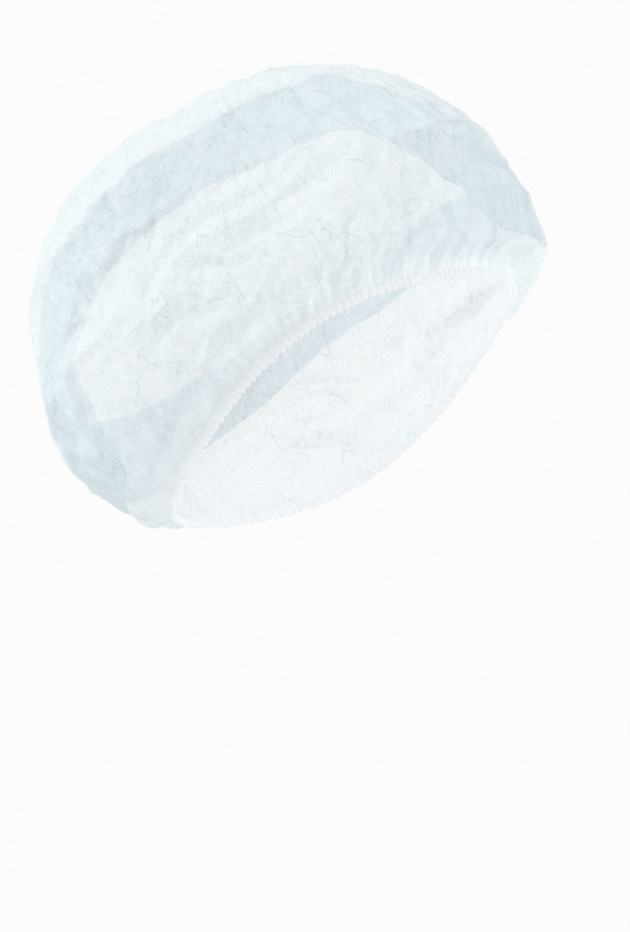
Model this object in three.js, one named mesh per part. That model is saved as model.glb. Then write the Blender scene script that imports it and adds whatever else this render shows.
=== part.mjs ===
// A disposable beret-style hair cover: a puffed non-woven crown gathered onto a round elastic band.
// Millimetres, +Z up, worn upright with the face towards -Y. The origin is the middle of the band's
// opening, where the head goes in.
import * as THREE from "three";

// Driving dimensions.
const OPENING_HALF_WIDTH = 77; // the band's opening, ear to ear
const OPENING_HALF_LENGTH = 101.5; // the same, forehead to nape, along the sloping opening
const OPENING_TILT = THREE.MathUtils.degToRad(34); // the opening slopes down from forehead to nape
const TEMPLE_RISE = 18; // how far the band climbs over the temples and dips behind the ears
const CLOTH_WALL = 1; // the crown's thin crinkled cloth, with the air it holds
const BAND_WALL = 2.2; // the gathered hem with its elastic, across the wall
const BAND_HEIGHT = 6;
const BAND_GAP = 0.3; // between the band's upper edge and the crown
const CROWN_HEIGHT = 147; // the crown's middle above the opening
const CROWN_SHIFT = 11; // how far the crown's middle sits towards the forehead

// Sections of the crown from the forehead round to the nape, the same on both sides.
//   reach, lift: the lip that overhangs the band, outwards from it and above it
//   wide, wideUp: the widest point, outwards from the band and above the opening
//   shoulder, shoulderUp: where the side turns into the top, from the middle and above the opening
const SECTIONS = [
  { name: "forehead", reach: 17, lift: 4, wide: 28, wideUp: 63, shoulder: 87, shoulderUp: 128 },
  { name: "temple", reach: 26, lift: 4, wide: 23, wideUp: 58, shoulder: 90, shoulderUp: 127 },
  { name: "ear", reach: 17, lift: 4, wide: 30, wideUp: 54, shoulder: 96, shoulderUp: 124 },
  { name: "behind_ear", reach: 16, lift: 1, wide: 35, wideUp: 55, shoulder: 95, shoulderUp: 125 },
  { name: "nape", reach: 18, lift: 1, wide: 34, wideUp: 47, shoulder: 95, shoulderUp: 128 },
];
const LIP_ROOT = 0.45; // the share of the lip's reach by which its underside has taken up its lift
const LIP_DEPTH = 7; // from the lip's underside up to its outer edge

// Broad folds pressed into the crown. Each runs straight in turn and climb: turn is the angle round
// from the forehead towards the wearer's left, in degrees, and climb is 0 at the band and 1 at the
// middle of the top.
//   depth: how far in it is pressed, or out if it is less than 0;  breadth: its half width
const FOLDS = [
  { name: "right_pleat_groove", fromTurn: 228, fromClimb: 0.64, toTurn: 352, toClimb: 0.68,
    depth: 2.5, breadth: 9 },
  { name: "right_pleat_ridge", fromTurn: 228, fromClimb: 0.72, toTurn: 352, toClimb: 0.75,
    depth: -3, breadth: 10 },
  { name: "left_pleat_groove", fromTurn: 20, fromClimb: 0.68, toTurn: 132, toClimb: 0.64,
    depth: 2, breadth: 9 },
  { name: "left_pleat_ridge", fromTurn: 20, fromClimb: 0.75, toTurn: 132, toClimb: 0.72,
    depth: -3, breadth: 10 },
  { name: "right_side_crease", fromTurn: 262, fromClimb: 0.5, toTurn: 326, toClimb: 0.62,
    depth: 3, breadth: 7 },
  { name: "left_side_crease", fromTurn: 55, fromClimb: 0.6, toTurn: 128, toClimb: 0.5,
    depth: 3, breadth: 7 },
  { name: "brow_dent", fromTurn: -38, fromClimb: 0.52, toTurn: 34, toClimb: 0.58,
    depth: 2.5, breadth: 10 },
  { name: "nape_dent", fromTurn: 146, fromClimb: 0.54, toTurn: 218, toClimb: 0.5,
    depth: 3.5, breadth: 11 },
  { name: "nape_roll", fromTurn: 140, fromClimb: 0.68, toTurn: 224, toClimb: 0.74,
    depth: -2.5, breadth: 13 },
  { name: "top_dent", fromTurn: 236, fromClimb: 0.86, toTurn: 420, toClimb: 0.9,
    depth: 3, breadth: 15 },
];

// Facets: sections round the cap, rows in each span between two of a section's key points, and
// corners of the band's oval.
const SECTIONS_ROUND = 64;
const ROWS_IN_SPAN = [2, 2, 5, 10, 8];
const BAND_CORNERS = 8;
const NUDGE = 1e-3; // the small step in turn or climb that slopes are measured over

// The value between p1 and p2 of a smooth curve through four evenly spaced values.
function smoothBetween(p0, p1, p2, p3, t) {
  const slope1 = (p2 - p0) / 2;
  const slope2 = (p3 - p1) / 2;
  const t2 = t * t;
  const t3 = t2 * t;
  return (2 * t3 - 3 * t2 + 1) * p1 + (t3 - 2 * t2 + t) * slope1
    + (3 * t2 - 2 * t3) * p2 + (t3 - t2) * slope2;
}

// A column of SECTIONS at an angle round the head, both sides alike.
function sectionValue(column, turn) {
  const last = SECTIONS.length - 1;
  const halfTurn = Math.abs(THREE.MathUtils.euclideanModulo(turn + Math.PI, 2 * Math.PI) - Math.PI);
  const place = (halfTurn / Math.PI) * last;
  const row = Math.min(Math.floor(place), last - 1);
  const at = (i) => SECTIONS[i < 0 ? -i : i > last ? 2 * last - i : i][column];
  return smoothBetween(at(row - 1), at(row), at(row + 1), at(row + 2), place - row);
}

// The band's line in the opening's own frame: across (to the wearer's left), back and up.
function bandLine(turn) {
  const across = OPENING_HALF_WIDTH * Math.sin(turn);
  const back = -OPENING_HALF_LENGTH * Math.cos(turn);
  return new THREE.Vector3(across, back, TEMPLE_RISE * Math.sin(turn) ** 2 * Math.cos(turn));
}

// The key points of the crown's section at an angle: x is the distance from the middle, y the height.
function sectionKeys(turn) {
  const band = bandLine(turn);
  const bandRadius = Math.hypot(band.x, band.y);
  const lift = sectionValue("lift", turn);
  const reach = sectionValue("reach", turn);
  return [
    new THREE.Vector2(bandRadius, band.z + BAND_HEIGHT / 2 + BAND_GAP),
    new THREE.Vector2(bandRadius + LIP_ROOT * reach, band.z + BAND_HEIGHT / 2 + lift),
    new THREE.Vector2(bandRadius + reach, band.z + lift + LIP_DEPTH),
    new THREE.Vector2(bandRadius + sectionValue("wide", turn), sectionValue("wideUp", turn)),
    new THREE.Vector2(sectionValue("shoulder", turn), sectionValue("shoulderUp", turn)),
    new THREE.Vector2(0, CROWN_HEIGHT),
  ];
}

// How far the folds press the crown in at a turn and climb; reach is the cloth's length for a
// climb of 1 there.
function foldDepth(turn, climb, reach) {
  let depth = 0;
  for (const fold of FOLDS) {
    const start = THREE.MathUtils.degToRad(fold.fromTurn);
    const span = THREE.MathUtils.degToRad(fold.toTurn - fold.fromTurn);
    const along = THREE.MathUtils.euclideanModulo(turn - start, 2 * Math.PI) / span;
    if (along < 1) {
      const line = THREE.MathUtils.lerp(fold.fromClimb, fold.toClimb, along);
      const off = ((climb - line) * reach) / fold.breadth;
      depth += fold.depth * Math.sin(Math.PI * along) * Math.exp(-off * off);
    }
  }
  return depth;
}

// From the opening's frame to the part's frame: the opening is turned about the ear-to-ear axis.
function toPart(point) {
  return point.applyAxisAngle(new THREE.Vector3(1, 0, 0), -OPENING_TILT);
}

// A point of the crown's outer face. climb runs from 0 at the band to 1 at the middle of the top.
function crownPoint(turn, climb) {
  const keys = sectionKeys(turn);
  const spans = keys.length - 1;
  const row = Math.min(Math.floor(climb * spans), spans - 1);
  const key = (i) => {
    if (i < 0) return keys[0].clone().multiplyScalar(2).sub(keys[1]);
    if (i > spans) return new THREE.Vector2(-keys[spans - 1].x, keys[spans - 1].y);
    return keys[i];
  };
  const [k0, k1, k2, k3] = [row - 1, row, row + 1, row + 2].map(key);
  const t = climb * spans - row;
  const radius = Math.max(smoothBetween(k0.x, k1.x, k2.x, k3.x, t), 0);
  const height = smoothBetween(k0.y, k1.y, k2.y, k3.y, t);
  const band = bandLine(turn).setZ(0).normalize();
  const shift = CROWN_SHIFT * Math.max(1 - radius / keys[0].x, 0);
  return toPart(new THREE.Vector3(band.x * radius, band.y * radius - shift, height));
}

// The smooth crown's outward normal at a turn and climb, and how much cloth a climb of 1 takes there.
function crownSlope(turn, climb) {
  const low = Math.max(climb - NUDGE, 0);
  const high = Math.min(climb + NUDGE, 1);
  const upward = crownPoint(turn, high).sub(crownPoint(turn, low));
  const level = Math.min(climb, 1 - NUDGE);
  const round = crownPoint(turn + NUDGE, level).sub(crownPoint(turn - NUDGE, level));
  return { normal: round.cross(upward).normalize(), reach: upward.length() / (high - low) };
}

// A closed shell between an outer and an inner grid of points: the first rows are joined round the
// opening and each grid's last row is one point, the pole.
function shell(outer, inner) {
  const around = outer[0].length;
  const top = outer.length - 1;
  const pole = top * around;
  const points = [outer, inner].flatMap((grid) => [...grid.slice(0, top).flat(), grid[top][0]]);
  const index = [];
  const quad = (a, b, c, d) => index.push(a, b, c, a, c, d);
  for (let i = 0; i < around; i++) {
    const j = (i + 1) % around;
    const inside = pole + 1; // where the inner grid's points start
    for (let row = 0; row < top - 1; row++) {
      const here = row * around;
      const above = here + around;
      quad(here + i, here + j, above + j, above + i);
      quad(inside + here + j, inside + here + i, inside + above + i, inside + above + j);
    }
    const last = pole - around;
    index.push(last + i, last + j, pole);
    index.push(inside + last + j, inside + last + i, inside + pole);
    quad(j, i, inside + i, inside + j);
  }
  return new THREE.BufferGeometry().setFromPoints(points).setIndex(index);
}

// The crown: one round of cloth, puffed out over the head, open at the band.
function crownGeometry() {
  const spans = ROWS_IN_SPAN.length;
  const climbs = ROWS_IN_SPAN.flatMap((rows, span) =>
    Array.from({ length: rows }, (_, row) => (span + row / rows) / spans));
  climbs.push(1);
  const outer = [];
  const inner = [];
  for (const climb of climbs) {
    const outerRow = [];
    const innerRow = [];
    for (let i = 0; i < SECTIONS_ROUND; i++) {
      const turn = (2 * Math.PI * i) / SECTIONS_ROUND;
      const { normal, reach } = crownSlope(turn, climb);
      const point = crownPoint(turn, climb).addScaledVector(normal, -foldDepth(turn, climb, reach));
      outerRow.push(point);
      innerRow.push(point.clone().addScaledVector(normal, -CLOTH_WALL));
    }
    outer.push(outerRow);
    inner.push(innerRow);
  }
  return shell(outer, inner);
}

// The band: the crown's gathered hem round its elastic, a closed loop of oval section.
function bandGeometry() {
  const up = toPart(new THREE.Vector3(0, 0, 1));
  const points = [];
  const index = [];
  for (let i = 0; i < SECTIONS_ROUND; i++) {
    const turn = (2 * Math.PI * i) / SECTIONS_ROUND;
    const centre = toPart(bandLine(turn));
    const along = toPart(bandLine(turn + NUDGE)).sub(toPart(bandLine(turn - NUDGE)));
    const outward = along.cross(up).normalize();
    for (let corner = 0; corner < BAND_CORNERS; corner++) {
      const angle = (2 * Math.PI * corner) / BAND_CORNERS;
      points.push(centre.clone()
        .addScaledVector(outward, (BAND_WALL / 2) * Math.cos(angle))
        .addScaledVector(up, (BAND_HEIGHT / 2) * Math.sin(angle)));
      const here = i * BAND_CORNERS;
      const next = ((i + 1) % SECTIONS_ROUND) * BAND_CORNERS;
      const turned = (corner + 1) % BAND_CORNERS;
      index.push(here + corner, next + corner, next + turned);
      index.push(here + corner, next + turned, here + turned);
    }
  }
  return new THREE.BufferGeometry().setFromPoints(points).setIndex(index);
}

function namedMesh(name, geometry, finish) {
  const mesh = new THREE.Mesh(geometry, new THREE.MeshStandardMaterial(finish));
  mesh.name = name;
  return mesh;
}

const cap = new THREE.Group();
cap.add(
  namedMesh("crown", crownGeometry(), {
    color: 0xe9eef1, roughness: 0.85, metalness: 0, transparent: true, opacity: 0.6,
  }),
  namedMesh("elastic_band", bandGeometry(), { color: 0xf4f6f8, roughness: 0.8, metalness: 0 }),
);

export default cap;
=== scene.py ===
"""A disposable beret-style hair cover: thin non-woven cloth puffed out over the head, folded over on
itself in a wide pleat and gathered onto an elastic hem. Metres, +Z up, the face towards -Y."""
import math

import bpy
import numpy as np
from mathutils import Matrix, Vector
from mathutils.bvhtree import BVHTree


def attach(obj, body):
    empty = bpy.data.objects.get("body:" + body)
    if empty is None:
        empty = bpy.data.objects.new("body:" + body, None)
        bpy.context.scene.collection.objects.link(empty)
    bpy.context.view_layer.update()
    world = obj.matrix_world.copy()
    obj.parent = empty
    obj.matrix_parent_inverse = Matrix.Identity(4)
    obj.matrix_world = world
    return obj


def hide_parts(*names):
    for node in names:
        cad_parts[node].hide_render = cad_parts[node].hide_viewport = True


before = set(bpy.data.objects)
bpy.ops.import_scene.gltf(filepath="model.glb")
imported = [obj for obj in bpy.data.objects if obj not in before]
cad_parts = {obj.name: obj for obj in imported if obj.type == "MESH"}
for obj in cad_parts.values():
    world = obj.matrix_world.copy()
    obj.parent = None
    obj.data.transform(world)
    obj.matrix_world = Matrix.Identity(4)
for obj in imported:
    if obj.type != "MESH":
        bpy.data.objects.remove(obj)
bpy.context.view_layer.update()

MM = 0.001

# ---------------------------------------------------------------- sizes
OPENING_HALF_WIDTH = 77 * MM
OPENING_HALF_LENGTH = 101.5 * MM
OPENING_TILT = math.radians(34)
TEMPLE_RISE = 18 * MM
BAND_HEIGHT = 6 * MM
BAND_WALL = 2.2 * MM
CAD_WALL = 1 * MM
HOLLOW_MIDDLE = 60 * MM  # a point this far above the opening sees every part of the crown's wall
FIRST_RAY = 0.02  # the lowest ray from that point to the wall, as a share of the way up from the hem
RAY_CROWDING = 1.15  # how much the rays crowd together low down, 1 for not at all

COLUMNS = 540  # of the crown's cloth, round the head
ROWS = {"side": 74, "turned_under": 24, "top": 84}  # of the crown's cloth, from the hem up
CUT_DIAMETER = 0.53  # the flat round of cloth

# The wide pleat in the crown: the puffed top hangs down over the side wall, and the cloth between
# them is turned under. Seen from above, turn goes from the forehead (0) by the wearer's left (90).
#   lower, upper: the pleat's two fold lines, as shares of the way from the hem to the crown's middle
PLEAT = [
    {"turn": 0, "lower": 0.10, "upper": 0.33},
    {"turn": 30, "lower": 0.10, "upper": 0.27},
    {"turn": 60, "lower": 0.24, "upper": 0.38},
    {"turn": 90, "lower": 0.36, "upper": 0.47},
    {"turn": 120, "lower": 0.38, "upper": 0.48},
    {"turn": 150, "lower": 0.30, "upper": 0.43},
    {"turn": 180, "lower": 0.18, "upper": 0.36},
    {"turn": 210, "lower": 0.10, "upper": 0.34},
    {"turn": 237, "lower": 0.10, "upper": 0.43},
    {"turn": 250, "lower": 0.33, "upper": 0.47},
    {"turn": 264, "lower": 0.37, "upper": 0.48},
    {"turn": 310, "lower": 0.38, "upper": 0.50},
    {"turn": 326, "lower": 0.40, "upper": 0.52},
    {"turn": 338, "lower": 0.27, "upper": 0.55},
    {"turn": 350, "lower": 0.14, "upper": 0.42},
]
PLEAT_GAP = 0.45 * MM  # between two layers of the pleat
PLEAT_ROUND = 4 * MM  # of cloth that a fold takes to turn over
TABLE_EVENING = 140  # passes that even out the corners between the rows of the pleat's table

# Long soft wrinkles, from one place on the crown to another, by turn and by share of the way up.
#   depth: pressed in, or standing out if less than 0;  breadth: half of its width
WRINKLES = [
    {"turns": (268, 318), "ups": (0.29, 0.355), "depth": 2.6, "breadth": 2.4},
    {"turns": (272, 316), "ups": (0.26, 0.31), "depth": -2.4, "breadth": 2.6},
    {"turns": (280, 300), "ups": (0.25, 0.19), "depth": 2.4, "breadth": 2.2},
    {"turns": (272, 300), "ups": (0.10, 0.15), "depth": -2.4, "breadth": 2.6},
    {"turns": (262, 290), "ups": (0.20, 0.16), "depth": 2.2, "breadth": 2.2},
    {"turns": (300, 313), "ups": (0.03, 0.20), "depth": -2.6, "breadth": 2.0},
    {"turns": (306, 320), "ups": (0.03, 0.22), "depth": 2.4, "breadth": 1.8},
    {"turns": (314, 327), "ups": (0.03, 0.19), "depth": -2.2, "breadth": 1.8},
    {"turns": (324, 334), "ups": (0.03, 0.22), "depth": 2.0, "breadth": 1.8},
    {"turns": (246, 300), "ups": (0.62, 0.70), "depth": 2.0, "breadth": 4.0},
    {"turns": (300, 352), "ups": (0.60, 0.66), "depth": -1.8, "breadth": 4.5},
    {"turns": (200, 244), "ups": (0.52, 0.66), "depth": 2.2, "breadth": 4.5},
    {"turns": (150, 196), "ups": (0.58, 0.52), "depth": 2.4, "breadth": 5.0},
    {"turns": (96, 148), "ups": (0.60, 0.66), "depth": 2.0, "breadth": 4.5},
    {"turns": (40, 92), "ups": (0.66, 0.60), "depth": 2.2, "breadth": 4.5},
    {"turns": (60, 104), "ups": (0.16, 0.30), "depth": 2.6, "breadth": 2.4},
    {"turns": (112, 136), "ups": (0.10, 0.28), "depth": -2.4, "breadth": 2.6},
    {"turns": (10, 40), "ups": (0.42, 0.56), "depth": 2.0, "breadth": 4.0},
]

# Gathers that run up from the hem and die out.
#   count: round the head;  depth and length: how deep they are at the hem and how far up they reach
GATHERS = [
    {"count": 116, "depth": 0.8, "length": 11, "drift": 0.3},
    {"count": 61, "depth": 1.0, "length": 24, "drift": 0.8},
    {"count": 27, "depth": 1.2, "length": 50, "drift": 1.0},
]

# Crumpling that covers the whole cloth: straight creases of three lengths, strewn at random.
#   count, length, depth and breadth of the creases;  shared: whether they press through all the
#   layers of the pleat
CREASES = [
    {"count": 70, "length": 95, "depth": 1.3, "breadth": 3.0, "shared": True},
    {"count": 200, "length": 48, "depth": 0.6, "breadth": 1.6, "shared": True},
    {"count": 500, "length": 20, "depth": 0.15, "breadth": 1.0, "shared": False},
]
CREASE_SEED = 11
GATHER_SEED = 5

# The cloth simulation that crumples the crown: the cloth is a little too big for its form, and is held
# to it softly, so that it buckles.
BUCKLE_GRID = (84, 168)  # steps up and round
BUCKLE_GROWTH = 0.05  # how much too big the cloth is
BUCKLE_HOLD = 0.35  # how firmly the cloth is held to its form, from 0 to 1
BUCKLE_LIMIT = 9 * MM  # the furthest it may leave its form
BUCKLE_FRAMES = 24
BUCKLE_CLOTH = {
    "quality": 6,
    "mass": 0.02,
    "tension_stiffness": 40,
    "compression_stiffness": 40,
    "shear_stiffness": 20,
    "bending_stiffness": 0.6,
    "shrink_min": -BUCKLE_GROWTH,
    "pin_stiffness": 1.0,
}

HEM_PUCKERS = 170  # round the hem
HEM_DEPTH = 0.6 * MM
HEM_STEPS = 1200  # round the hem

CAMERA_AZIMUTH = math.radians(-50)
CAMERA_DISTANCE = 1.6
FIELD_HEIGHT = 0.4334  # of the view, at the cap
AIM = (-0.0119, -0.0299)  # what the camera looks at, right of and above the opening's middle
SENSOR = 36.0

CLOTH_TINTS = {
    "thin": (0.75, 0.84, 0.87, 1),
    "thick": (0.86, 0.91, 0.93, 1),
    # line: painted shade for the fine creases and sharp bends, darker than the cloth
    "line": (0.42, 0.53, 0.60, 1),
    "hem": (0.97, 0.98, 0.99, 1),
}

BACKDROP = 0.97
SKY = 0.62
#       name, azimuth, elevation, strength, softness
SUNS = [
    ("key", -130, 36, 1.9, 10),
    ("fill", 10, 20, 1.0, 40),
]
FLOOR_DEPTH = 0.32  # the floor below the opening's middle
FLOOR_SIZE = 120


# ---------------------------------------------------------------- the crown's surface
def from_opening(points):
    """From the sloping opening's frame (across, back, up) to the part's frame."""
    cos, sin = math.cos(OPENING_TILT), math.sin(OPENING_TILT)
    across, back, up = points[..., 0], points[..., 1], points[..., 2]
    return np.stack([across, back * cos + up * sin, up * cos - back * sin], -1)


def band_line(turns):
    """The middle of the hem, in the opening's frame, at each angle round the head."""
    across = OPENING_HALF_WIDTH * np.sin(turns)
    back = -OPENING_HALF_LENGTH * np.cos(turns)
    return np.stack([across, back, TEMPLE_RISE * np.sin(turns) ** 2 * np.cos(turns)], -1)


def smoothed(field, times):
    """A field over (step up, turn), evened out a little at each pass. It closes on itself in turn."""
    for _ in range(times):
        field = (np.roll(field, 1, 1) + 2 * field + np.roll(field, -1, 1)) / 4
        padded = np.concatenate([field[:1], field, field[-1:]])
        field = (padded[:-2] + 2 * field + padded[2:]) / 4
    return field


def crown_meridians(turns, steps=260):
    """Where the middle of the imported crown's wall lies: points evenly spaced along the cloth from the
    hem to the crown's middle, at each turn, as (step, turn, xyz)."""
    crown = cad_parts["crown"].data
    tree = BVHTree.FromPolygons([v.co for v in crown.vertices], [p.vertices for p in crown.polygons])
    line = band_line(turns)
    radius = np.hypot(line[:, 0], line[:, 1])
    start = np.arctan2(line[:, 2] - HOLLOW_MIDDLE, radius)
    rise = np.linspace(0, 1, steps)[:, None] ** RAY_CROWDING
    lift = start + (math.pi / 2 - start) * (FIRST_RAY + (1 - FIRST_RAY) * rise)
    level = np.cos(lift)
    aims = np.stack([level * line[:, 0] / radius, level * line[:, 1] / radius, np.sin(lift)], -1)
    aims = from_opening(aims)
    eye = from_opening(np.array([0.0, 0.0, HOLLOW_MIDDLE]))
    reach = np.empty(lift.shape)
    for place in np.ndindex(*lift.shape):
        hit = tree.ray_cast(Vector(eye), Vector(aims[place]))
        reach[place] = hit[3] + CAD_WALL / 2
    reach = smoothed(reach, 5)
    points = np.concatenate([from_opening(line)[None], eye + reach[..., None] * aims])
    points[-1] = points[-1].mean(0)
    gaps = np.linalg.norm(np.diff(points, axis=0), axis=2)
    along = np.concatenate([np.zeros((1, len(turns))), gaps.cumsum(0)])
    even = np.linspace(0, 1, steps)
    spaced = np.empty((steps, len(turns), 3))
    for i in range(len(turns)):
        for axis in range(3):
            spaced[:, i, axis] = np.interp(even, along[:, i] / along[-1, i], points[:, i, axis])
    return spaced, along[-1]


def normals_of(points):
    """Outward normals of a grid of points that closes on itself in turn and ends in one point."""
    up = np.gradient(points, axis=0)
    around = np.roll(points, -1, 1) - np.roll(points, 1, 1)
    normal = np.cross(around, up)
    normal[-1] = normal[-2].mean(0)
    return normal / np.linalg.norm(normal, axis=2, keepdims=True)


def at_height(grid, share):
    """A grid's value at a share of the way up, for each row and turn of share."""
    place = np.clip(share, 0, 1) * (len(grid) - 1)
    low = np.minimum(place.astype(int), len(grid) - 2)
    part = (place - low)[..., None]
    turn = np.arange(grid.shape[1])[None]
    return grid[low, turn] * (1 - part) + grid[low + 1, turn] * part


def buckled(surface):
    """The crown's form after its slack cloth has buckled in a cloth simulation."""
    up = np.linspace(0, len(surface) - 1, BUCKLE_GRID[0]).astype(int)
    around = np.linspace(0, COLUMNS, BUCKLE_GRID[1], endpoint=False).astype(int)
    coarse = surface[up][:, around]
    form = grid_object("buckling", coarse)
    held = form.vertex_groups.new(name="held")
    for index in range(len(form.data.vertices)):
        share = index // BUCKLE_GRID[1] / BUCKLE_GRID[0]
        held.add([index], max(BUCKLE_HOLD, 1 - 3 * share), "REPLACE")
    cloth = form.modifiers.new("cloth", "CLOTH")
    for name, value in BUCKLE_CLOTH.items():
        setattr(cloth.settings, name, value)
    cloth.settings.vertex_group_mass = "held"
    cloth.settings.effector_weights.gravity = 0
    cloth.point_cache.frame_end = BUCKLE_FRAMES
    scene = bpy.context.scene
    for step in range(1, BUCKLE_FRAMES + 1):
        scene.frame_set(step)
    after = form.evaluated_get(bpy.context.evaluated_depsgraph_get()).to_mesh()
    moved = np.empty(len(after.vertices) * 3)
    after.vertices.foreach_get("co", moved)
    form.evaluated_get(bpy.context.evaluated_depsgraph_get()).to_mesh_clear()
    moved = moved.reshape(-1, 3)
    pole = moved[-1]
    moved = np.concatenate([moved[:-1].reshape(BUCKLE_GRID[0] - 1, -1, 3),
                            np.broadcast_to(pole, (1, BUCKLE_GRID[1], 3))])
    shift = moved - coarse
    size = np.linalg.norm(shift, axis=2, keepdims=True)
    shift *= np.minimum(1, BUCKLE_LIMIT / np.maximum(size, 1e-9))
    bpy.data.objects.remove(form)
    return surface + spread(shift, surface.shape)


def spread(coarse, shape):
    """A coarse grid of vectors read smoothly at a fine grid's places."""
    rows = np.linspace(0, len(coarse) - 1, shape[0])
    turns = np.linspace(0, coarse.shape[1], shape[1], endpoint=False)
    columns = np.arange(coarse.shape[1])
    fine = np.empty(shape)
    for axis in range(3):
        tall = np.empty((shape[0], coarse.shape[1]))
        for i in columns:
            tall[:, i] = np.interp(rows, np.arange(len(coarse)), coarse[:, i, axis])
        for row in range(shape[0]):
            fine[row, :, axis] = np.interp(turns, columns, tall[row], period=coarse.shape[1])
    return smoothed(fine, 2)


# ---------------------------------------------------------------- folds, gathers and crumples
def wavy(turns, count, spread, seed):
    """A smooth function round the head with about count waves, none quite like the next, within
    about -1 to 1."""
    chance = np.random.default_rng(seed)
    total = np.zeros_like(turns)
    waves = np.arange(round(count * (1 - spread)), round(count * (1 + spread)) + 1)
    for wave in waves:
        total += np.cos(wave * turns + chance.uniform(0, 2 * math.pi)) * chance.uniform(0.5, 1)
    return total / math.sqrt(len(waves) / 2)


def round_table(rows, column, turns):
    """A column of a table, read smoothly round the head."""
    at = np.radians([row["turn"] for row in rows])
    value = np.array([row[column] for row in rows])
    dense = np.linspace(0, 2 * math.pi, 720, endpoint=False)
    steps = np.interp(dense, at, value, period=2 * math.pi)
    for _ in range(TABLE_EVENING):
        steps = (np.roll(steps, 1) + 2 * steps + np.roll(steps, -1)) / 4
    return np.interp(turns, dense, steps, period=2 * math.pi)


def eased(t):
    t = np.clip(t, 0, 1)
    return t * t * (3 - 2 * t)


def pleated_rows(turns, lengths):
    """Each row of the cloth: its share of the way up the crown, how far it stands out of it in
    metres, and how much cloth lies between it and the hem."""
    lower = round_table(PLEAT, "lower", turns) + 0.006 * wavy(turns, 9, 0.4, 1)
    upper = round_table(PLEAT, "upper", turns) + 0.006 * wavy(turns, 8, 0.4, 2)
    side, under, top = ROWS["side"], ROWS["turned_under"], ROWS["top"]
    shares, stands = [], []
    rounding = PLEAT_ROUND / lengths
    for row in range(side):
        share = upper * (1 - (1 - row / side) ** 1.5)  # finer towards each fold
        shares.append(share)
        stands.append(-PLEAT_GAP * (1 - 0.5 * eased(1 - (upper - share) / rounding)))
    for row in range(under):
        share = upper + (lower - upper) * (1 - math.cos(math.pi * row / under)) / 2
        shares.append(share)
        stands.append(PLEAT_GAP * 0.5 * (eased(1 - (share - lower) / rounding)
                                         - eased(1 - (upper - share) / rounding)))
    for row in range(top + 1):
        share = lower + (1 - lower) * (row / top) ** 1.5
        shares.append(share)
        stands.append(PLEAT_GAP * (1 - 0.5 * eased(1 - (share - lower) / rounding)))
    shares, stands = np.array(shares), np.array(stands)
    # the layers come together where the cloth lies single, at the hem and on top
    stands *= np.clip(shares * 8, 0, 1) * np.clip((1 - shares) * 2.2, 0, 1)
    cloth = np.concatenate([np.zeros((1, len(turns))), np.abs(np.diff(shares, axis=0)).cumsum(0)])
    return shares, stands, cloth * lengths


def gathers(turns, shares, lengths):
    """How far the gathers push the cloth out, in metres."""
    up = shares * lengths
    total = np.zeros_like(up)
    for i, tier in enumerate(GATHERS):
        swing = tier["drift"] * 0.02 * wavy(turns, 7, 0.5, GATHER_SEED + 10 + i) * up / (tier["length"] * MM)
        wave = wavy(turns + np.clip(swing, -0.08, 0.08), tier["count"], 0.22, GATHER_SEED + i)
        rise = eased(up / (9 * MM))  # the hem holds them shut
        total += tier["depth"] * MM * wave * rise * np.exp(-up / (tier["length"] * MM))
    return total


def wrinkles(turns, shares, lengths):
    """How far the long wrinkles press the cloth in, in metres."""
    total = np.zeros_like(shares)
    for fold in WRINKLES:
        first, last = np.radians(fold["turns"])
        along = ((turns - first) % (2 * math.pi)) / (last - first)
        inside = np.clip(along, 0, 1)
        bend = 0.012 * np.sin(3.1 * inside * math.pi + first * 5)
        line = fold["ups"][0] + (fold["ups"][1] - fold["ups"][0]) * inside + bend
        off = np.abs(shares - line) * lengths / (fold["breadth"] * MM)
        steep = np.hypot(1, (fold["ups"][1] - fold["ups"][0]) * 0.24 / ((last - first) * 0.11))
        fade = np.where(along < 1, np.sin(math.pi * inside) ** 0.6, 0)
        total += fold["depth"] * MM * fade * np.exp(-(off / steep) ** 1.5)
    return total


def creases(flat, shared):
    """How far the crumples of one sort move the cloth, in metres, at places on a flat round."""
    chance = np.random.default_rng(CREASE_SEED + shared)
    total = np.zeros(flat.shape[:-1])
    for kind in CREASES:
        if kind["shared"] != shared:
            continue
        for _ in range(kind["count"]):
            middle = chance.uniform(-1, 1, 2) * CUT_DIAMETER / 2
            angle = chance.uniform(0, math.pi)
            length = kind["length"] * MM * chance.uniform(0.5, 1.4)
            depth = kind["depth"] * MM * chance.choice([-1, 1]) * chance.uniform(0.4, 1.2)
            breadth = kind["breadth"] * MM * chance.uniform(0.7, 1.5)
            lean = chance.uniform(0.4, 1)
            offset = flat - middle
            near = (np.abs(offset[..., 0]) < length) & (np.abs(offset[..., 1]) < length)
            here = offset[near]
            along = (here[:, 0] * math.cos(angle) + here[:, 1] * math.sin(angle)) / (length / 2)
            across = (here[:, 1] * math.cos(angle) - here[:, 0] * math.sin(angle)) / breadth
            across = across + 0.6 * along ** 2
            across = np.where(across > 0, across * lean, across)
            fade = np.clip(1 - along ** 2, 0, 1)
            total[near] += depth * fade * np.exp(-np.abs(across) ** 1.25)
    return total


# ---------------------------------------------------------------- mesh helpers
def mesh_object(name, vertices, faces, edges=()):
    mesh = bpy.data.meshes.new(name)
    mesh.from_pydata(vertices, edges, faces)
    mesh.validate()
    mesh.polygons.foreach_set("use_smooth", [True] * len(mesh.polygons))
    piece = bpy.data.objects.new(name, mesh)
    bpy.context.scene.collection.objects.link(piece)
    return piece


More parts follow.
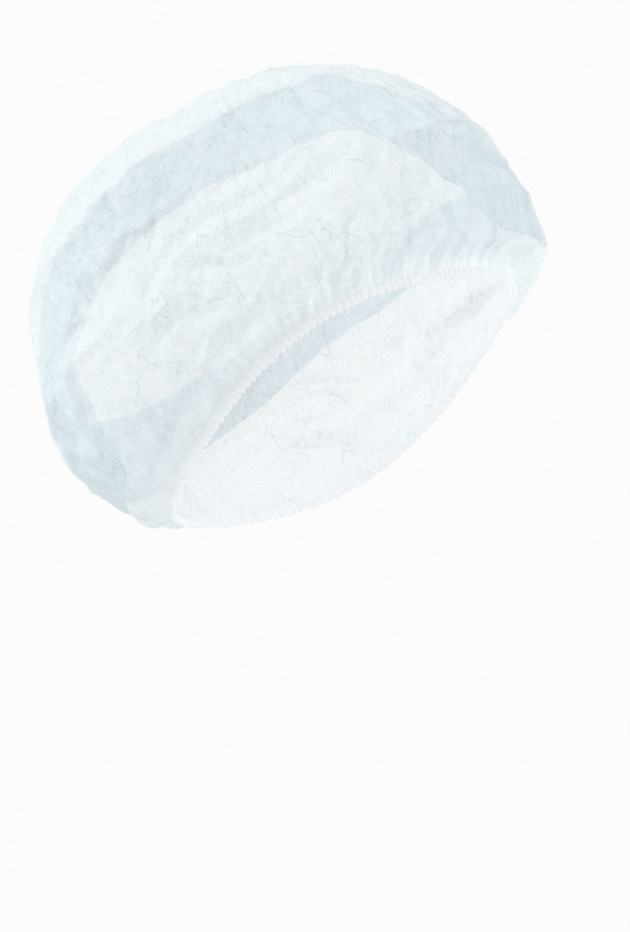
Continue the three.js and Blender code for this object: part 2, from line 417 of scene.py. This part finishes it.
def grid_object(name, points):
    """A mesh of a grid of points, (row, turn, xyz), that closes on itself in turn and whose last row
    is one point."""
    rows, columns = len(points) - 1, points.shape[1]
    vertices = np.concatenate([points[:-1].reshape(-1, 3), points[-1].mean(0)[None]])
    faces = []
    for row in range(rows - 1):
        for i in range(columns):
            here, beside = row * columns + i, row * columns + (i + 1) % columns
            faces.append((here, beside, beside + columns, here + columns))
    last, pole = (rows - 1) * columns, rows * columns
    faces += [(last + i, last + (i + 1) % columns, pole) for i in range(columns)]
    return mesh_object(name, vertices.tolist(), faces)


def corner_values(mesh, per_vertex):
    """Vertex values spread to the mesh's face corners."""
    corners = np.empty(len(mesh.loops), dtype=np.int64)
    mesh.loops.foreach_get("vertex_index", corners)
    return per_vertex[corners]


def vertex_value(piece, name, values):
    piece.data.attributes.new(name, "FLOAT", "POINT").data.foreach_set("value", values)


def build_crown():
    turns = np.linspace(0, 2 * math.pi, COLUMNS, endpoint=False)
    surface, lengths = crown_meridians(turns)
    surface = buckled(surface)
    outward = normals_of(surface)
    shares, stands, cloth = pleated_rows(turns, lengths)
    bearing = np.stack([np.sin(turns), -np.cos(turns)], -1)
    flat = (CUT_DIAMETER / 2 * (1 - cloth / cloth[-1]))[..., None] * bearing
    through = (CUT_DIAMETER / 2 * (1 - shares))[..., None] * bearing
    puffed = eased(shares * lengths / (16 * MM))
    crumple = (creases(through, True) + creases(flat, False)) * puffed
    pressed = wrinkles(turns, shares, lengths)
    shape = gathers(turns, shares, lengths) - pressed + crumple
    push = stands + shape
    points = at_height(surface, shares) + push[..., None] * at_height(outward, shares)
    crown = grid_object("crown_cloth", points)
    flat_map = np.concatenate([flat[:-1].reshape(-1, 2), np.zeros((1, 2))]) / CUT_DIAMETER + 0.5
    layer = crown.data.uv_layers.new(name="flat_cloth")
    layer.data.foreach_set("uv", corner_values(crown.data, flat_map).ravel())
    near_hem = np.exp(-shares * lengths / (9 * MM))
    near_hem = np.append(near_hem[:-1].ravel(), 0)
    vertex_value(crown, "near_hem", near_hem)
    # how sharply the crumpled cloth bends: it paints shade into these creases in the cloth's colour, and
    # thickens the cloth a little there
    sharp = np.abs(shape - smoothed(shape, 2)) / (0.10 * MM) - 0.5
    vertex_value(crown, "sharp_crease_shade", np.append(np.clip(sharp[:-1], 0, 1.2).ravel(), 0))
    return crown


# ---------------------------------------------------------------- nodes
class Reading:
    """What a node gives out. Readings that are numbers take part in plain arithmetic."""

    def __init__(self, nodes, socket):
        self.nodes, self.socket = nodes, socket

    def math(self, operation, *values):
        sockets = dict(enumerate(values))
        return self.nodes.node("ShaderNodeMath", {"operation": operation}, sockets)

    def __add__(self, other): return self.math("ADD", self, other)
    def __radd__(self, other): return self.math("ADD", other, self)
    def __sub__(self, other): return self.math("SUBTRACT", self, other)
    def __rsub__(self, other): return self.math("SUBTRACT", other, self)
    def __mul__(self, other): return self.math("MULTIPLY", self, other)
    def __rmul__(self, other): return self.math("MULTIPLY", other, self)


class Nodes:
    """A node tree made one call at a time."""

    def __init__(self, tree):
        self.tree = tree

    def node(self, kind, settings=None, sockets=None, output=0):
        made = self.tree.nodes.new(kind)
        for name, value in (settings or {}).items():
            setattr(made, name, value)
        for name, value in (sockets or {}).items():
            if isinstance(value, Reading):
                self.tree.links.new(value.socket, made.inputs[name])
            else:
                made.inputs[name].default_value = value
        return Reading(self, made.outputs[output]) if made.outputs else None


class Finish(Nodes):
    """A material."""

    def __init__(self, name):
        self.material = bpy.data.materials.new(name)
        self.material.use_nodes = True
        super().__init__(self.material.node_tree)
        self.tree.nodes.clear()

    def show(self, shader):
        self.node("ShaderNodeOutputMaterial", {}, {"Surface": shader})

    def band(self, value, low, high):
        """0 below low and 1 above high, eased between them."""
        return self.node("ShaderNodeMapRange", {"interpolation_type": "SMOOTHSTEP"},
                         {"Value": value, "From Min": low, "From Max": high})

    def lines(self, place, scale, breadth):
        """1 along the edges of random cells, scale of them to the metre, and 0 off them."""
        edge = self.node("ShaderNodeTexVoronoi", {"feature": "DISTANCE_TO_EDGE"},
                         {"Vector": place, "Scale": scale})
        return 1 - self.band(edge, 0.0, breadth * scale)

    def noise(self, place, scale, detail):
        return self.node("ShaderNodeTexNoise", {}, {"Vector": place, "Scale": scale, "Detail": detail})

    def mixed(self, factor, one, other):
        """One colour turning into another as factor goes from 0 to 1."""
        return self.node("ShaderNodeMix", {"data_type": "RGBA"}, {"Factor": factor, 6: one, 7: other}, 2)


# ---------------------------------------------------------------- the hem
HEM_INPUTS = [
    ("Path", "NodeSocketGeometry"),
    ("Wall", "NodeSocketFloat"),
    ("Height", "NodeSocketFloat"),
    ("Puckers", "NodeSocketInt"),
    ("Depth", "NodeSocketFloat"),
    ("Cloth", "NodeSocketMaterial"),
]


def hem_tree():
    """Nodes that sweep an oval along a path, pucker it and tip it to the slope of the opening."""
    tree = bpy.data.node_groups.new("puckered_hem", "GeometryNodeTree")
    for name, kind in HEM_INPUTS:
        tree.interface.new_socket(name, in_out="INPUT", socket_type=kind)
    tree.interface.new_socket("Hem", in_out="OUTPUT", socket_type="NodeSocketGeometry")
    made = Nodes(tree)
    given = {name: made.node("NodeGroupInput", output=name) for name, _ in HEM_INPUTS}

    path = made.node("GeometryNodeMeshToCurve", {}, {"Mesh": given["Path"]})
    path = made.node("GeometryNodeSetCurveNormal", {"mode": "Z_UP"}, {"Curve": path})
    ring = made.node("GeometryNodeCurvePrimitiveCircle", {}, {"Resolution": 18, "Radius": 1.0})
    size = made.node("ShaderNodeCombineXYZ", {},
                     {"X": given["Wall"] * 0.5, "Y": given["Height"] * 0.5, "Z": 1.0})
    oval = made.node("GeometryNodeTransform", {}, {"Geometry": ring, "Scale": size})
    tube = made.node("GeometryNodeCurveToMesh", {}, {"Curve": path, "Profile Curve": oval})

    turn = made.node("GeometryNodeInputNamedAttribute", {"data_type": "FLOAT"}, {"Name": "turn"})
    place = made.node("GeometryNodeInputPosition")
    drift = made.node("ShaderNodeTexNoise", {}, {"Vector": place, "Scale": 90.0, "Detail": 1.0})
    angle = turn * given["Puckers"] + 9 * drift
    wave = made.node("ShaderNodeMath", {"operation": "SINE"}, {0: angle})
    crush = made.node("ShaderNodeTexNoise", {}, {"Vector": place, "Scale": 520.0, "Detail": 2.0})
    swell = given["Depth"] * (wave * 0.75 + 1.6 * (crush - 0.5))
    outward = made.node("GeometryNodeInputNormal")
    shift = made.node("ShaderNodeVectorMath", {"operation": "SCALE"}, {"Vector": outward, "Scale": swell})
    tube = made.node("GeometryNodeSetPosition", {}, {"Geometry": tube, "Offset": shift})
    tube = made.node("GeometryNodeTransform", {},
                     {"Geometry": tube, "Rotation": (-OPENING_TILT, 0.0, 0.0)})
    tube = made.node("GeometryNodeSetShadeSmooth", {}, {"Geometry": tube})
    tube = made.node("GeometryNodeRealizeInstances", {}, {"Geometry": tube})
    tube = made.node("GeometryNodeSetMaterial", {}, {"Geometry": tube, "Material": given["Cloth"]})
    made.node("NodeGroupOutput", {}, {"Hem": tube})
    return tree


def build_hem(cloth):
    """The cloth's edge turned in over the elastic: a gathered tube that follows the opening."""
    steps = HEM_STEPS
    turns = np.linspace(0, 2 * math.pi, steps, endpoint=False)
    edges = [(i, (i + 1) % steps) for i in range(steps)]
    hem = mesh_object("hem", band_line(turns).tolist(), [], edges)
    vertex_value(hem, "turn", turns)
    sweep = hem.modifiers.new("sweep", "NODES")
    sweep.node_group = hem_tree()
    values = {"Wall": BAND_WALL, "Height": BAND_HEIGHT, "Puckers": HEM_PUCKERS, "Depth": HEM_DEPTH,
              "Cloth": cloth}
    for item in sweep.node_group.interface.items_tree:
        if item.name in values:
            sweep[item.identifier] = values[item.name]
    graph = bpy.context.evaluated_depsgraph_get()
    swept = bpy.data.meshes.new_from_object(hem.evaluated_get(graph))
    hem.modifiers.remove(sweep)
    hem.data = swept
    return hem


# ---------------------------------------------------------------- finishes
def non_woven(name, on_flat_cloth, cover, through_share, tints):
    """Thin spun-bonded cloth: milky, see-through, veined with fine creases and cloudy with fibre; along the
    creases the cloth is denser, and their shade is painted into its colour.
    It lies by the crown's flat cloth or, for the hem, by the piece itself."""
    finish = Finish(name)
    place = finish.node("ShaderNodeTexCoord", output="UV" if on_flat_cloth else "Object")
    cloth = finish.node("ShaderNodeVectorMath", {"operation": "SCALE"},
                        {"Vector": place, "Scale": CUT_DIAMETER if on_flat_cloth else 1.0})
    warp = finish.node("ShaderNodeTexNoise", {}, {"Vector": cloth, "Scale": 45.0, "Detail": 3.0}, "Color")
    wavering = finish.node("ShaderNodeVectorMath", {"operation": "MULTIPLY_ADD"},
                           {0: warp, 1: (0.003, 0.003, 0.003), 2: cloth})
    bent = finish.node("ShaderNodeVectorMath", {"operation": "MULTIPLY_ADD"},
                       {0: warp, 1: (0.01, 0.01, 0.01), 2: cloth})
    patchy = finish.band(finish.noise(cloth, 38.0, 2.0), 0.35, 0.65)
    folds = finish.lines(wavering, 24.0, 0.32 * MM) * (1 - 0.6 * patchy)
    veins = finish.lines(bent, 150.0, 0.20 * MM) * patchy
    crackle = finish.lines(bent, 380.0, 0.20 * MM) * (1 - 0.6 * patchy)
    cloudy = finish.noise(cloth, 210.0, 4.0)
    fibre = finish.noise(cloth, 1300.0, 2.0)
    hem = finish.node("ShaderNodeAttribute", {"attribute_name": "near_hem"}, output="Fac")
    # painted shade for the sharp bends of the crumpled crown, read from the mesh
    sharp_crease_shade = finish.node("ShaderNodeAttribute", {"attribute_name": "sharp_crease_shade"}, output="Fac")

    # the crease lines: there the cloth is denser, and its colour turns towards the painted crease shade
    lines = 0.75 * folds + 0.75 * veins + 0.7 * crackle + 0.18 * sharp_crease_shade
    lines = lines * (1 - hem) if on_flat_cloth else 0.15 * crackle
    relief = 0.5 * cloudy + 0.2 * fibre
    bump = finish.node("ShaderNodeBump", {},
                       {"Height": relief, "Strength": 0.25, "Distance": 0.2 * MM}, "Normal")
    density = cover + 0.14 * (cloudy - 0.5) + 0.06 * (fibre - 0.5) + 0.2 * lines + 0.4 * hem
    density = finish.band(density, 0.0, 1.0)
    plain = finish.mixed(cloudy, tints["thin"], tints["thick"])
    # painted shade along the creases: the colour darkens towards the 'line' tint
    crease_shaded_colour = finish.mixed(finish.band(lines, 0.0, 1.1), plain, tints["line"])
    colour = finish.mixed(hem, crease_shaded_colour, tints["hem"])
    front = finish.node("ShaderNodeBsdfPrincipled", {},
                        {"Base Color": colour, "Normal": bump, "Roughness": 0.7 + 0.2 * fibre,
                         "Specular IOR Level": 0.15})
    through = finish.node("ShaderNodeBsdfTranslucent", {}, {"Color": tints["thick"], "Normal": bump})
    cloth_shade = finish.node("ShaderNodeMixShader", {}, {"Fac": through_share, 1: front, 2: through})
    gaps = finish.node("ShaderNodeBsdfTransparent")
    finish.show(finish.node("ShaderNodeMixShader", {}, {"Fac": density, 1: gaps, 2: cloth_shade}))
    return finish.material


def floor_finish():
    finish = Finish("pale_floor")
    light = SKY + sum(sun[3] * math.sin(math.radians(sun[2])) for sun in SUNS) / math.pi
    shade = BACKDROP / light  # as bright as the backdrop, so that no horizon shows
    finish.show(finish.node("ShaderNodeBsdfDiffuse", {}, {"Color": (shade, shade, shade, 1)}))
    return finish.material


# ---------------------------------------------------------------- the scene
crown = build_crown()
crown.data.materials.append(non_woven("crown_cloth", True, 0.42, 0.35, CLOTH_TINTS))
hem_tints = {**CLOTH_TINTS, "thin": CLOTH_TINTS["hem"], "thick": CLOTH_TINTS["hem"]}
hem = build_hem(non_woven("hem_cloth", False, 0.75, 0.5, hem_tints))

floor = mesh_object("floor", [(x * FLOOR_SIZE, y * FLOOR_SIZE, -FLOOR_DEPTH)
                              for x, y in ((-1, -1), (1, -1), (1, 1), (-1, 1))], [(0, 1, 2, 3)])
floor.data.materials.append(floor_finish())

back = Vector((math.sin(CAMERA_AZIMUTH), -math.cos(CAMERA_AZIMUTH), 0))
right = Vector((math.cos(CAMERA_AZIMUTH), math.sin(CAMERA_AZIMUTH), 0))
camera_data = bpy.data.cameras.new("camera")
camera_data.sensor_width = SENSOR
camera_data.lens = SENSOR * CAMERA_DISTANCE / FIELD_HEIGHT
camera_data.clip_end = 4 * FLOOR_SIZE
camera = bpy.data.objects.new("camera", camera_data)
camera.location = right * AIM[0] + Vector((0, 0, AIM[1])) + back * CAMERA_DISTANCE
camera.rotation_mode = "QUATERNION"
camera.rotation_quaternion = (-back).to_track_quat("-Z", "Y")
bpy.context.scene.collection.objects.link(camera)
bpy.context.scene.camera = camera

for name, azimuth, elevation, strength, softness in SUNS:
    data = bpy.data.lights.new(name, "SUN")
    data.energy = strength
    data.angle = math.radians(softness)
    sun = bpy.data.objects.new(name, data)
    turn, rise = math.radians(azimuth), math.radians(elevation)
    towards = Vector((math.sin(turn) * math.cos(rise), -math.cos(turn) * math.cos(rise), math.sin(rise)))
    sun.rotation_mode = "QUATERNION"
    sun.rotation_quaternion = towards.to_track_quat("Z", "Y")
    bpy.context.scene.collection.objects.link(sun)

world = bpy.data.worlds.new("studio")
world.use_nodes = True
nodes, links = world.node_tree.nodes, world.node_tree.links
nodes.clear()
seen = nodes.new("ShaderNodeBackground")
seen.inputs["Strength"].default_value = BACKDROP
lighting = nodes.new("ShaderNodeBackground")
lighting.inputs["Strength"].default_value = SKY
path = nodes.new("ShaderNodeLightPath")
either = nodes.new("ShaderNodeMixShader")
out = nodes.new("ShaderNodeOutputWorld")
for shader in (seen, lighting):
    shader.inputs["Color"].default_value = (1, 1, 1, 1)
links.new(path.outputs["Is Camera Ray"], either.inputs["Fac"])
links.new(lighting.outputs[0], either.inputs[1])
links.new(seen.outputs[0], either.inputs[2])
links.new(either.outputs[0], out.inputs["Surface"])
bpy.context.scene.world = world
bpy.context.scene.view_settings.view_transform = "Standard"
bpy.context.scene.cycles.transparent_max_bounces = 40

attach(crown, "root")
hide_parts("crown")
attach(hem, "root")
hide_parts("elastic_band")
